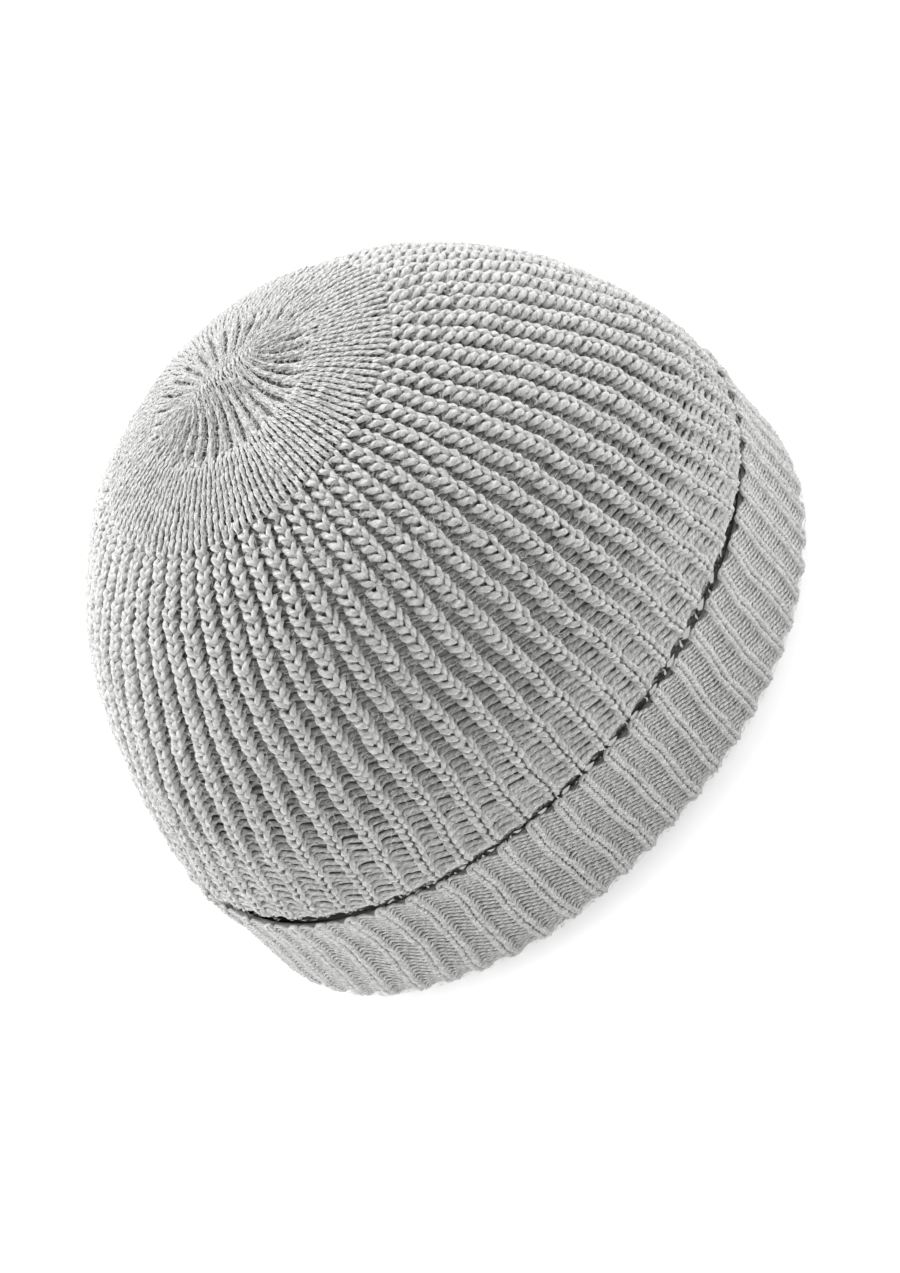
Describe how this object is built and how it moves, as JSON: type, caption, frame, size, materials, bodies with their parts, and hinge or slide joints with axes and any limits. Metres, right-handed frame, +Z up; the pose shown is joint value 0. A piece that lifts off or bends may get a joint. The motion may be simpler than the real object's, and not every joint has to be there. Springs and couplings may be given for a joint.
{
  "type": "knit beanie",
  "caption": "Ribbed knit beanie with a domed plain-knit crown gathered at the centre and a turned-up cuff.",
  "frame": {"origin": "centre of the oval brim opening, on the plane that the brim fold rests on", "axes": "+Z up through the crown, +X towards the forehead, so the back seam is on the -X side"},
  "size_m": [0.2086, 0.1694, 0.154],
  "materials": {
    "knit": "light grey heather two-ply yarn, soft and slightly fuzzy",
    "linking_yarn": "light grey heather yarn, linked flat",
    "draw_yarn": "light grey heather yarn, drawn tight",
    "label_tape": "smooth white satin tape, blank",
    "sewing_thread": "fine grey polyester thread"
  },
  "bodies": {
    "hat": {"body_panel": "knit", "crown_panel": "knit", "crown_gather": "knit", "crown_button": "knit", "brim_inner_layer": "knit", "brim_fold": "knit", "cuff": "knit", "cuff_welt": "knit", "seam_body": "linking_yarn", "seam_crown": "linking_yarn", "seam_brim": "linking_yarn", "seam_cuff": "linking_yarn", "draw_yarn_ring": "draw_yarn", "draw_yarn_knot": "draw_yarn", "draw_yarn_tail": "draw_yarn", "label_margin": "label_tape", "label_stitches": "sewing_thread"},
    "label_flap": {"care_label": "label_tape"}
  },
  "joints": [
    {"name": "label_flip", "type": "hinge", "parent": "hat", "child": "label_flap", "pos_m": [-0.09164, 0, 0.019], "axis": [0, 0, -1], "range_deg": [0, 150]}
  ]
}
